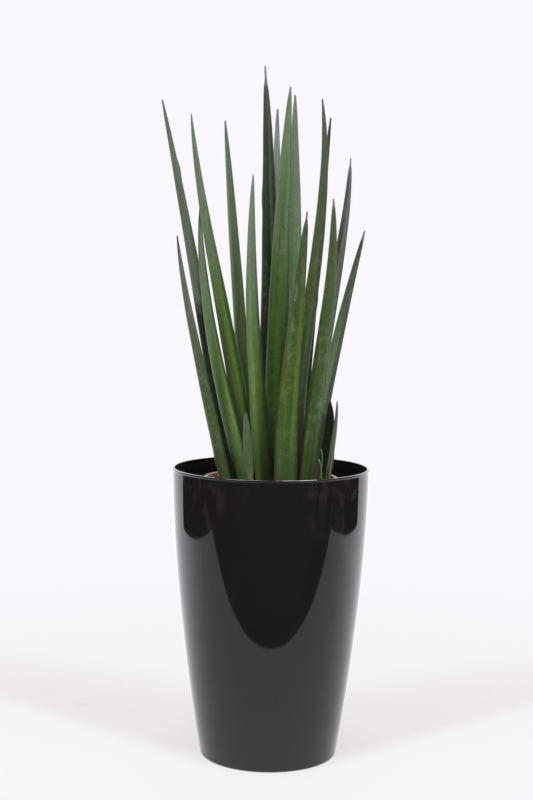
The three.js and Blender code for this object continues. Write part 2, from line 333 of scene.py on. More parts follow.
grow_low, grow_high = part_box("grow_pot")
grow_rim = grow_high.x
grow_foot = grow_rim - GROW_TAPER


def grow_body(z):
    """Outer radius of the tapered body at height z."""
    share = (z - grow_low.z) / (grow_high.z - grow_low.z)
    return grow_foot + (grow_rim - GROW_LIP - grow_foot) * share


def grow_pot_outline():
    """Half the nursery pot's section, from the middle of its base round to its inner floor."""
    lip_z = grow_high.z - GROW_RIM_DEPTH
    lip_edge = grow_rim - GROW_RIM_ROUND
    mouth_z = grow_high.z - GROW_RIM_ROUND
    inner_edge = grow_body(grow_high.z) - GROW_WALL + GROW_RIM_ROUND
    points = [(0, grow_low.z)]
    points += arc((grow_foot - GROW_FOOT_ROUND, grow_low.z + GROW_FOOT_ROUND),
                  GROW_FOOT_ROUND, -90, 0, 4)
    points += [(grow_body(lip_z), lip_z), (lip_edge, lip_z)]
    points += arc((lip_edge, lip_z + GROW_RIM_ROUND), GROW_RIM_ROUND, -90, 0, 3)
    points += arc((lip_edge, mouth_z), GROW_RIM_ROUND, 0, 90, 4)
    points += arc((inner_edge, mouth_z), GROW_RIM_ROUND, 90, 180, 4)
    floor_z = grow_low.z + GROW_BASE
    points += [(grow_body(floor_z) - GROW_WALL, floor_z), (0, floor_z)]
    return points


def cut_drain_holes(piece):
    """Cuts the circle of drain holes through the pot's base, and bakes the cut into the mesh."""
    bm = bmesh.new()
    for k in range(DRAIN_HOLES):
        angle = math.tau * k / DRAIN_HOLES
        place = (DRAIN_CIRCLE * math.cos(angle), DRAIN_CIRCLE * math.sin(angle), grow_low.z)
        bmesh.ops.create_cone(bm, cap_ends=True, segments=24, radius1=DRAIN_RADIUS,
                              radius2=DRAIN_RADIUS, depth=6 * GROW_BASE,
                              matrix=Matrix.Translation(place))
    mesh = bpy.data.meshes.new("drain_cutter")
    bm.to_mesh(mesh)
    bm.free()
    cutter = bpy.data.objects.new("drain_cutter", mesh)
    bpy.context.scene.collection.objects.link(cutter)
    modifier = piece.modifiers.new("drain_holes", "BOOLEAN")
    modifier.operation = "DIFFERENCE"
    modifier.solver = "EXACT"
    modifier.object = cutter
    bpy.context.view_layer.update()
    cut = bpy.data.meshes.new_from_object(
        piece.evaluated_get(bpy.context.evaluated_depsgraph_get()))
    piece.modifiers.clear()
    piece.data = cut
    bpy.data.objects.remove(cutter)


terracotta = nursery_plastic("grow_pot_terracotta_plastic", (0.50, 0.27, 0.20, 1),
                             (0.10, 0.06, 0.04, 1), 0.6, 0.48)
grow_pot = make_piece("nursery_pot", turn(grow_pot_outline(), steps=96), terracotta)
cut_drain_holes(grow_pot)
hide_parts("grow_pot")


# ---- Soil ------------------------------------------------------------------------------------
# Peat potting mix that fills the nursery pot: a packed root ball with a crumbly, slightly
# mounded top, strewn with loose crumbs, bits of bark and white grains of perlite.

SOIL_GAP = 0.35 * MM
SOIL_BELOW_RIM = 6 * MM
SOIL_SETTLED = 1.2 * MM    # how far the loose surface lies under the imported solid's mound
LUMP_HEIGHT = 1.6 * MM
HOLLOW_DEPTH = 2.2 * MM
SOIL_RINGS = 46
CRUMBS = 900
BARK_BITS = 150
PERLITE_GRAINS = 70

soil_low, soil_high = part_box("soil")
soil_radius = soil_high.x
soil_edge_z = grow_high.z - SOIL_BELOW_RIM
mound = soil_high.z - soil_edge_z


def soil_top(x, y):
    """Height of the loose surface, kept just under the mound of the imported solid."""
    share = min(math.hypot(x, y) / soil_radius, 1)
    lumps = noise.fractal(Vector((x, y, 0.3)) * 70, 0.8, 2.1, 4) * LUMP_HEIGHT
    hollows = noise.noise(Vector((x, y, 1.7)) * 28) * HOLLOW_DEPTH
    return soil_edge_z + mound * (1 - share * share) + lumps + hollows - SOIL_SETTLED


def soil_ball():
    """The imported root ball, turned, with its top pushed into lumps and hollows."""
    outline = [(0, soil_low.z), (grow_body(soil_low.z) - GROW_WALL - SOIL_GAP, soil_low.z)]
    outline.append((soil_radius, soil_edge_z - 3 * MM))
    for k in range(SOIL_RINGS):
        share = 1 - k / SOIL_RINGS
        outline.append((soil_radius * share, soil_edge_z))
    outline.append((0, soil_edge_z))
    bm = turn(outline, steps=180)
    for vert in bm.verts:
        if vert.co.z > soil_edge_z - 1 * MM:
            vert.co.z = soil_top(vert.co.x, vert.co.y)
    return bm


DAMP_PEAT = (0.03, 0.014, 0.008, 1)
PEAT_FIBRE = (0.26, 0.15, 0.08, 1)
MOSS_GREEN = (0.10, 0.12, 0.045, 1)


def soil_material(name, dark, light, moss_share):
    """Peat: grains from dark to light, damp clumps, pale fibres and a bloom of moss."""
    material = bpy.data.materials.new(name)
    tree, shader = new_tree(material)
    place = object_place(tree)
    grain = noise_value(tree, place, 420, detail=6.0, roughness=0.7)
    clumps = noise_value(tree, place, 60, detail=4.0)
    fibre = noise_value(tree, place, 500, detail=3.0, stretch=(1, 0.15, 1))
    tone = blend_colour(tree, ramp(tree, grain, 0.35, 0.7), dark, light)
    tone = blend_colour(tree, ramp(tree, clumps, 0.4, 0.7, 0.0, 0.55), tone, DAMP_PEAT)
    tone = blend_colour(tree, ramp(tree, fibre, 0.66, 0.76), tone, PEAT_FIBRE)
    moss = ramp(tree, noise_value(tree, place, 90, detail=2.0), 0.62, 0.75, 0.0, moss_share)
    tone = blend_colour(tree, moss, tone, MOSS_GREEN)
    height = calc(tree, "ADD", grain, calc(tree, "MULTIPLY", fibre, 0.6))
    bump = add_node(tree, "ShaderNodeBump",
                    inputs={"Strength": 0.9, "Distance": 0.0012, "Height": height})
    tree.links.new(tone, shader.inputs["Base Color"])
    tree.links.new(ramp(tree, grain, 0.3, 0.8, 0.95, 0.8), shader.inputs["Roughness"])
    tree.links.new(bump.outputs["Normal"], shader.inputs["Normal"])
    shader.inputs["Specular IOR Level"].default_value = 0.25
    return material


def bark_material():
    """Composted bark: dark and light brown grain, with a rough surface."""
    material = bpy.data.materials.new("bark_bits")
    tree, shader = new_tree(material)
    place = object_place(tree)
    grain = noise_value(tree, place, 260, detail=5.0, stretch=(1, 1, 3))
    tone = blend_colour(tree, grain, (0.055, 0.025, 0.013, 1), (0.24, 0.12, 0.06, 1))
    bump = add_node(tree, "ShaderNodeBump",
                    inputs={"Strength": 0.8, "Distance": 0.0008, "Height": grain})
    tree.links.new(tone, shader.inputs["Base Color"])
    tree.links.new(bump.outputs["Normal"], shader.inputs["Normal"])
    tree.links.new(ramp(tree, grain, 0.2, 0.8, 0.9, 0.7), shader.inputs["Roughness"])
    return material


def perlite_material():
    """Puffed white grains, stained in their pores."""
    material = bpy.data.materials.new("perlite_grains")
    tree, shader = new_tree(material)
    place = object_place(tree)
    pores = noise_value(tree, place, 900, detail=3.0)
    tone = blend_colour(tree, ramp(tree, pores, 0.3, 0.6),
                        (0.32, 0.27, 0.2, 1), (0.78, 0.76, 0.7, 1))
    bump = add_node(tree, "ShaderNodeBump",
                    inputs={"Strength": 1.0, "Distance": 0.0006, "Height": pores})
    tree.links.new(tone, shader.inputs["Base Color"])
    tree.links.new(ramp(tree, pores, 0.3, 0.8, 0.95, 0.75), shader.inputs["Roughness"])
    tree.links.new(bump.outputs["Normal"], shader.inputs["Normal"])
    return material


def scatter_bits(seed, count, sizes, stretch, sink):
    """Loose bits strewn over the soil: small uneven lumps, each turned its own way, and raised
    off the surface by a share (sink) of their size."""
    chance = random.Random(seed)
    bm = bmesh.new()
    for _ in range(count):
        reach = (soil_radius - sizes[1]) * math.sqrt(chance.random())
        around = chance.random() * math.tau
        x, y = reach * math.cos(around), reach * math.sin(around)
        size = sizes[0] + (sizes[1] - sizes[0]) * chance.random() ** 2
        turn_matrix = Matrix.Rotation(chance.random() * math.tau, 4, "Z")
        tilt = Matrix.Rotation(math.radians(chance.uniform(-35, 35)), 4, "X")
        shape = Matrix.Diagonal((stretch[0], stretch[1], stretch[2], 1))
        place = Matrix.Translation((x, y, soil_top(x, y) + size * sink))
        made = bmesh.ops.create_icosphere(bm, subdivisions=1, radius=size / 2,
                                          matrix=place @ turn_matrix @ tilt @ shape)
        for vert in made["verts"]:
            push = Vector([chance.uniform(-1, 1) for _ in range(3)])
            vert.co += push * size * 0.13
    return bm


packed_peat = soil_material("peat_mix", (0.050, 0.022, 0.012, 1), (0.150, 0.070, 0.036, 1), 0.5)
soil = make_piece("root_ball", soil_ball(), packed_peat)
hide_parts("soil")

loose_peat = soil_material("peat_crumbs", (0.060, 0.026, 0.014, 1), (0.19, 0.085, 0.045, 1), 0.25)
crumbs = scatter_bits(11, CRUMBS, (1.2 * MM, 4.6 * MM), (1, 0.9, 0.75), 0.18)
bark = scatter_bits(12, BARK_BITS, (3 * MM, 9 * MM), (1, 0.45, 0.25), 0.12)
perlite = scatter_bits(13, PERLITE_GRAINS, (1.2 * MM, 3 * MM), (1, 1, 0.9), 0.3)
for name, bits, material in (("peat_crumbs", crumbs, loose_peat),
                             ("bark_bits", bark, bark_material()),
                             ("perlite_grains", perlite, perlite_material())):
    loose = make_piece(name, bits, material, smooth=False)


# ---- Leaves ----------------------------------------------------------------------------------
# Each leaf is one stiff, fleshy spear, almost round, with a shallow channel down the side that
# faces its shoot and a firm edge on both sides of the channel. It is drawn up ring by ring
# through the sections of its solid, and ends in a dry, horny point.

RING_SIDES = 40
CHANNEL_LIP = 0.75
CHANNEL_GROOVE = 0.8
FLUTES = 9
FLUTE_DEPTH = 0.018
TIP_RADIUS = 1.6 * MM
TIP_ROUND = 2.5 * MM       # the length over which the very tip rounds off
LEAF_SWAY = 0.5 * MM
LEAF_SWELL = 0.03


def solid_sections(node):
    """The level sections of a leaf's solid, foot first: middle, half width, half depth and the
    unit vector towards its channel. The tip is given apart."""
    bm = bmesh.new()
    bm.from_mesh(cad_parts[node].data)
    bmesh.ops.remove_doubles(bm, verts=bm.verts, dist=1e-6)
    levels = {}
    for vert in bm.verts:
        levels.setdefault(round(vert.co.z, 5), []).append(vert.co.copy())
    bm.free()
    sections = []
    for z in sorted(levels):
        points = levels[z]
        if len(points) < 3:
            tip = points[0]
            continue
        far = max(((a, b) for a in points for b in points),
                  key=lambda pair: (pair[0] - pair[1]).length)
        middle = (far[0] + far[1]) / 2
        across = (far[1] - far[0]).normalized()
        toward = Vector((-across.y, across.x, 0))
        outs = [(p - middle).dot(toward) for p in points]
        if sum(outs) > 0:
            toward = -toward
            outs = [-out for out in outs]
        sections.append({"z": z, "middle": middle, "toward": toward,
                         "width": (far[1] - far[0]).length / 2, "depth": -min(outs)})
    return sections, tip


def through(values, knots, t):
    """Smooth curve through values at rising knots."""
    k = max(i for i in range(len(knots) - 1) if knots[i] <= t or i == 0)
    x0, x1 = knots[k], knots[k + 1]

    def slope(i):
        low, high = max(i - 1, 0), min(i + 1, len(knots) - 1)
        return (values[high] - values[low]) / (knots[high] - knots[low])

    h, s = x1 - x0, (t - x0) / (x1 - x0)
    return ((1 + 2 * s) * (1 - s) ** 2 * values[k] + s * (1 - s) ** 2 * h * slope(k)
            + s * s * (3 - 2 * s) * values[k + 1] + s * s * (s - 1) * h * slope(k + 1))


def ring_heights(low, high):
    """Heights of the drawn rings: even up the leaf, and closer together towards the tip."""
    heights = [low]
    while heights[-1] < high:
        left = high - heights[-1]
        heights.append(heights[-1] + min(8 * MM, max(0.5 * MM, left * 0.16)))
        if high - heights[-1] < 0.25 * MM:
            break
    return [z for z in heights if z < high]


def bump_profile(off, run):
    """1 at a bump's height, and 0 beyond its run; steep above and drawn out below."""
    reach = run * (0.45 if off > 0 else 1.0)
    return max(0, 1 - (off / reach) ** 2)


def stack_rings(count):
    """A tube of rings joined one above another, as a bmesh with its rings of vertices, foot
    first, and the edges of the last ring."""
    bm = bmesh.new()
    ring = bmesh.ops.create_circle(bm, segments=RING_SIDES, radius=0.01)["verts"]
    edges = list(bm.edges)
    rings = [ring]
    for _ in range(count - 1):
        made = bmesh.ops.extrude_edge_only(bm, edges=edges)["geom"]
        edges = [g for g in made if isinstance(g, bmesh.types.BMEdge)
                 and g.verts[0] not in ring and g.verts[1] not in ring]
        above = {}
        for vert in (g for g in made if isinstance(g, bmesh.types.BMVert)):
            for edge in vert.link_edges:
                above[edge.other_vert(vert)] = vert
        ring = [above[vert] for vert in ring]
        rings.append(ring)
    return bm, rings, edges


def map_skin(bm, run_of, front_of, length):
    """Writes a skin's two UV maps. "run" goes round it in U (0 to 0.5 is the channel side) and
    up it in V, in metres above the soil. "front" goes from its left to its right side in U, and
    from its front to its back in V."""
    run_layer = bm.loops.layers.uv.new("run")
    front_layer = bm.loops.layers.uv.new("front")
    for face in bm.faces:
        sides = [run_of[v][0] for v in face.verts if v in run_of]
        wraps = max(sides) - min(sides) > RING_SIDES / 2
        for loop in face.loops:
            k, up = run_of.get(loop.vert, (sum(sides) / len(sides), length))
            if wraps and k < RING_SIDES / 2:
                k += RING_SIDES
            loop[run_layer].uv = (k / RING_SIDES, up)
            loop[front_layer].uv = front_of.get(loop.vert, (0.5, 0.5))


def leaf_mesh(node, look):
    """Draws a leaf's skin up through the sections of its solid, and closes its foot and tip."""
    sections, tip = solid_sections(node)
    knots = [s["z"] for s in sections] + [tip.z]
    xs = [s["middle"].x for s in sections] + [tip.x]
    ys = [s["middle"].y for s in sections] + [tip.y]
    widths = [s["width"] for s in sections] + [0.0]
    depths = [s["depth"] for s in sections] + [0.0]
    toward = sections[len(sections) // 2]["toward"]
    phase = random.Random(node).random() * 50
    horn_length, horn_radius = look.get("horn", (0.0, 1.0))
    slim_height, slim_share = look.get("slim", (1.0 * MM, 1.0))
    fill = look.get("fill", 0.5)
    heights = ring_heights(knots[0], knots[-1])
    length = knots[-1] - soil_edge_z
    across = Vector((toward.y, -toward.x, 0))

    bm, rows, top_edges = stack_rings(len(heights))
    run_of, front_of = {}, {}
    for row, z in zip(rows, heights):
        up = z - soil_edge_z
        share = max(up / length, 0)
        from_tip = knots[-1] - z
        middle = Vector((through(xs, knots, z), through(ys, knots, z), z))
        sway = LEAF_SWAY * min(share * 4, 1)
        middle.x += sway * noise.noise(Vector((phase, z * 9, 0)))
        middle.y += sway * noise.noise(Vector((phase, z * 9, 7)))
        swell = 1 + LEAF_SWELL * noise.noise(Vector((phase, z * 22, 3)))
        swell *= slim_share + (1 - slim_share) * min(1, max(0, up / slim_height))
        blunt = TIP_RADIUS * math.sqrt(min(1, max(from_tip, 0.05 * MM) / TIP_ROUND))
        half_width = math.hypot(max(through(widths, knots, z), 0) * swell, blunt)
        half_depth = math.hypot(max(through(depths, knots, z), 0) * swell, blunt * 0.8)
        if from_tip < horn_length:
            horn = horn_radius + (half_width - horn_radius) * (from_tip / horn_length) ** 3
            half_width, half_depth = min(half_width, horn), min(half_depth, horn)
        for k, vert in enumerate(row):
            angle = math.tau * k / RING_SIDES
            rise = math.sin(angle)
            flute = 1 - FLUTE_DEPTH * (0.5 + 0.5 * math.cos(angle * FLUTES * 2 + phase))
            if rise > 0:
                channel = CHANNEL_LIP * rise - CHANNEL_GROOVE * rise ** 3
                out = channel + (0.5 * rise - channel) * fill
            else:
                out = rise * flute
            reach = half_width * math.cos(angle) * (flute if abs(rise) > 0.3 else 1)
            vert.co = middle + across * reach + toward * (out * half_depth)
            run_of[vert] = (k, up)
        low_x, high_x = min(v.co.x for v in row), max(v.co.x for v in row)
        low_y, high_y = min(v.co.y for v in row), max(v.co.y for v in row)
        for vert in row:
            side = (vert.co.x - low_x) / (high_x - low_x)
            front_of[vert] = (side, (vert.co.y - low_y) / (high_y - low_y))
        for height, edge, proud, run in look.get("bumps", ()):
            lift = bump_profile(up - height, run)
            for vert in row:
                side = front_of[vert][0] if edge > 0 else 1 - front_of[vert][0]
                vert.co.x += edge * proud * lift * max(0, side - 0.6) / 0.4
    bmesh.ops.contextual_create(bm, geom=rows[0])
    made = bmesh.ops.extrude_edge_only(bm, edges=top_edges)["geom"]
    cap = [g for g in made if isinstance(g, bmesh.types.BMVert)]
    bmesh.ops.pointmerge(bm, verts=cap, merge_co=tip)
    bmesh.ops.recalc_face_normals(bm, faces=bm.faces)
    map_skin(bm, run_of, front_of, length)
    return bm


STREAK_DARK = (0.56, 0.60, 0.50, 1)
LINE_LIGHT = (1.5, 1.38, 1.5, 1)
GRAIN_LIGHT = (1.75, 1.65, 1.8, 1)
GRAIN_DARK = (0.5, 0.5, 0.45, 1)
# Painted shade on the right-hand flank of each leaf.
RIGHT_FLANK_PAINTED_SHADE = (0.55, 0.58, 0.52, 1)
BLOOM_GREY = (0.20, 0.26, 0.17, 1)
CHALK_GREY = (0.16, 0.19, 0.12, 1)
SPECK_GREY = (0.40, 0.44, 0.34, 1)


def build_leaf_skin():
    """The look of a leaf's skin, from its two UV maps and its place: green that changes up the
    leaf, a strip down the front, streaks and grain, bloom, and a foot, edges and tip of their
    own."""
    colours = ["Low", "High", "Foot", "Tip", "Strip", "Margin"]
    values = ["Strip From", "Strip To", "Strip Top", "Margin Share", "Bloom", "Length", "Dry",
              "Rise From", "Rise To", "Foot Reach", "Seed"]
    group, given, result = new_group(
        "leaf_skin",
        [("Run", "NodeSocketVector"), ("Front", "NodeSocketVector"), ("Place", "NodeSocketVector")]
        + [(name, "NodeSocketColor") for name in colours]
        + [(name, "NodeSocketFloat") for name in values],
        [("Colour", "NodeSocketColor"), ("Roughness", "NodeSocketFloat"),
         ("Height", "NodeSocketFloat")])
    take = given.outputs
    up = add_node(group, "ShaderNodeSeparateXYZ", {"Vector": take["Run"]}).outputs["Y"]
    front = add_node(group, "ShaderNodeSeparateXYZ", {"Vector": take["Front"]})
    side, depth = front.outputs["X"], front.outputs["Y"]
    shift = add_node(group, "ShaderNodeCombineXYZ", {"Z": take["Seed"]}).outputs[0]
    run = add_node(group, "ShaderNodeVectorMath", operation="ADD",
                   inputs={0: take["Run"], 1: shift}).outputs[0]

    streaks = noise_value(group, run, 1.0, detail=4.0, stretch=(22, 6, 1))
    lines = noise_value(group, run, 1.0, detail=2.0, stretch=(120, 4, 1))
    bands = noise_value(group, run, 1.0, detail=5.0, roughness=0.65, stretch=(6, 95, 1))
    patches = noise_value(group, run, 1.0, detail=3.0, stretch=(4, 13, 1))
    grain = noise_value(group, take["Place"], 480, detail=3.0, roughness=0.7)

    # Up the leaf, the low colour turns into the high one, with a wavering border.
    share = calc(group, "DIVIDE", up, take["Length"])
    wander = calc(group, "MULTIPLY_ADD", calc(group, "SUBTRACT", patches, 0.5), 0.35, share)
    tone = blend_colour(group, ramp(group, wander, take["Rise From"], take["Rise To"]),
                        take["Low"], take["High"])

    # The strip keeps to the front, and fades towards the tip.
    # It is partly the leaf's own colour and partly painted shade and light on the side that faces
    # the front.
    ripple = calc(group, "MULTIPLY_ADD", calc(group, "SUBTRACT", patches, 0.5), 0.12, side)
    strip = calc(group, "MULTIPLY",
                 ramp(group, calc(group, "SUBTRACT", ripple, take["Strip From"]), -0.04, 0.04),
                 ramp(group, calc(group, "SUBTRACT", take["Strip To"], ripple), -0.04, 0.04))
    strip = calc(group, "MULTIPLY", strip, ramp(group, depth, 0.75, 0.5))
    strip = calc(group, "MULTIPLY", strip, ramp(group, share, 0.95, 0.45, take["Strip Top"], 1.0))
    tone = blend_colour(group, strip, tone, take["Strip"])

    for texture, low, high, most, colour in ((streaks, 0.42, 0.70, 0.65, STREAK_DARK),
                                             (lines, 0.45, 0.75, 0.35, LINE_LIGHT),
                                             (grain, 0.48, 0.78, 0.55, GRAIN_LIGHT),
                                             (grain, 0.5, 0.25, 0.5, GRAIN_DARK)):
        mask = ramp(group, texture, low, high, 0.0, most)
        tone = blend_colour(group, mask, tone, colour, "MULTIPLY")

    # Bloom lies in faint bands across the leaf.
    bloom = calc(group, "MULTIPLY", ramp(group, bands, 0.45, 0.7),
                 ramp(group, patches, 0.4, 0.65, 0.25, 1.0))
    bloom = calc(group, "MULTIPLY", bloom, take["Bloom"])
    tone = blend_colour(group, bloom, tone, BLOOM_GREY)

    # At the soil the leaf takes its foot's colour, and chalky streaks fade out 12 cm up.
    # On the back leaves the foot's colour is painted shade.
    foot = calc(group, "MULTIPLY_ADD", calc(group, "SUBTRACT", streaks, 0.5), 0.05, up)
    tone = blend_colour(group, ramp(group, foot, take["Foot Reach"], 0.0, 0.0, 0.85), tone,
                        take["Foot"])
    chalk = calc(group, "MULTIPLY", ramp(group, lines, 0.48, 0.66), ramp(group, up, 0.12, 0.03))
    chalk = calc(group, "MULTIPLY", chalk, take["Bloom"])
    tone = blend_colour(group, chalk, tone, CHALK_GREY)

    # The firm edges are pale or brown, and the right-hand flank is darkened by painted shade.
    from_side = calc(group, "PINGPONG", side, 0.5)
    margin = calc(group, "MULTIPLY", ramp(group, from_side, 0.10, 0.02),
                  ramp(group, streaks, 0.3, 0.6, 0.3, 1.0))
    tone = blend_colour(group, calc(group, "MULTIPLY", margin, take["Margin Share"]), tone,
                        take["Margin"])
    tone = blend_colour(group, ramp(group, ripple, 0.84, 0.99, 0.0, 0.8), tone, RIGHT_FLANK_PAINTED_SHADE,
                        "MULTIPLY")

    # The tip is dry, with a ragged border.
    from_tip = calc(group, "SUBTRACT", take["Length"], up)
    ragged = calc(group, "MULTIPLY_ADD", calc(group, "SUBTRACT", streaks, 0.5), 0.02, from_tip)
    dry = ramp(group, calc(group, "DIVIDE", ragged, take["Dry"]), 1.3, 0.5)
    tone = blend_colour(group, dry, tone, take["Tip"])

    specks = noise_value(group, take["Place"], 620, detail=0.0)
    tone = blend_colour(group, ramp(group, specks, 0.78, 0.82, 0.0, 0.22), tone, SPECK_GREY)
    group.links.new(tone, result.inputs["Colour"])
    rough = calc(group, "MULTIPLY_ADD", bloom, 0.3, 0.42)
    rough = calc(group, "MULTIPLY_ADD", dry, 0.25, rough)
    group.links.new(rough, result.inputs["Roughness"])
    height = calc(group, "MULTIPLY_ADD", bands, 0.5, calc(group, "MULTIPLY", lines, 0.8))
    height = calc(group, "MULTIPLY_ADD", grain, 0.6, height)
    height = calc(group, "MULTIPLY_ADD", streaks, 0.8, height)
    group.links.new(height, result.inputs["Height"])
    return group


leaf_skin = build_leaf_skin()

FOOT_GREEN = (0.040, 0.070, 0.020, 1)
# Painted shade low down among the back leaves, where little light reaches.
FOOT_PAINTED_SHADE = (0.010, 0.018, 0.006, 1)
HORN_GREY = (0.165, 0.162, 0.145, 1)
PALE_EDGE = (0.190, 0.230, 0.130, 1)
BROWN_EDGE = (0.100, 0.050, 0.030, 1)


def leaf_material(node, look, length):
    """One leaf's own skin. Where its look says nothing, it has the finish of most leaves."""
    material = bpy.data.materials.new(node + "_skin")
    tree, shader = new_tree(material)
    run = add_node(tree, "ShaderNodeUVMap", uv_map="run").outputs["UV"]
    front = add_node(tree, "ShaderNodeUVMap", uv_map="front").outputs["UV"]
    strip_from, strip_to, strip_colour = look.get("strip", (2.0, 3.0, look["low"]))
    margin, margin_share = look.get("margin", (PALE_EDGE, 0.25))
    rise_from, rise_to = look.get("rise", (0.3, 0.95))
    skin = place_group(tree, leaf_skin, {
        "Run": run, "Front": front, "Place": object_place(tree), "Length": length,
        "Low": look["low"], "High": look["high"], "Rise From": rise_from, "Rise To": rise_to,
        "Foot": look.get("foot", FOOT_GREEN), "Foot Reach": look.get("foot_reach", 90 * MM),
        "Tip": look.get("tip", HORN_GREY), "Dry": look.get("dry", 14 * MM),
        "Strip": strip_colour, "Strip From": strip_from, "Strip To": strip_to,
        "Strip Top": look.get("strip_top", 0.15),
        "Margin": margin, "Margin Share": margin_share,
        "Bloom": look["bloom"], "Seed": look["seed"]})
    bump = add_node(tree, "ShaderNodeBump", inputs={
        "Strength": 0.55, "Distance": 0.0008, "Height": skin.outputs["Height"]})
    tree.links.new(skin.outputs["Colour"], shader.inputs["Base Color"])
    tree.links.new(skin.outputs["Roughness"], shader.inputs["Roughness"])
    tree.links.new(bump.outputs["Normal"], shader.inputs["Normal"])
    shader.inputs["Specular IOR Level"].default_value = 0.22
    return material


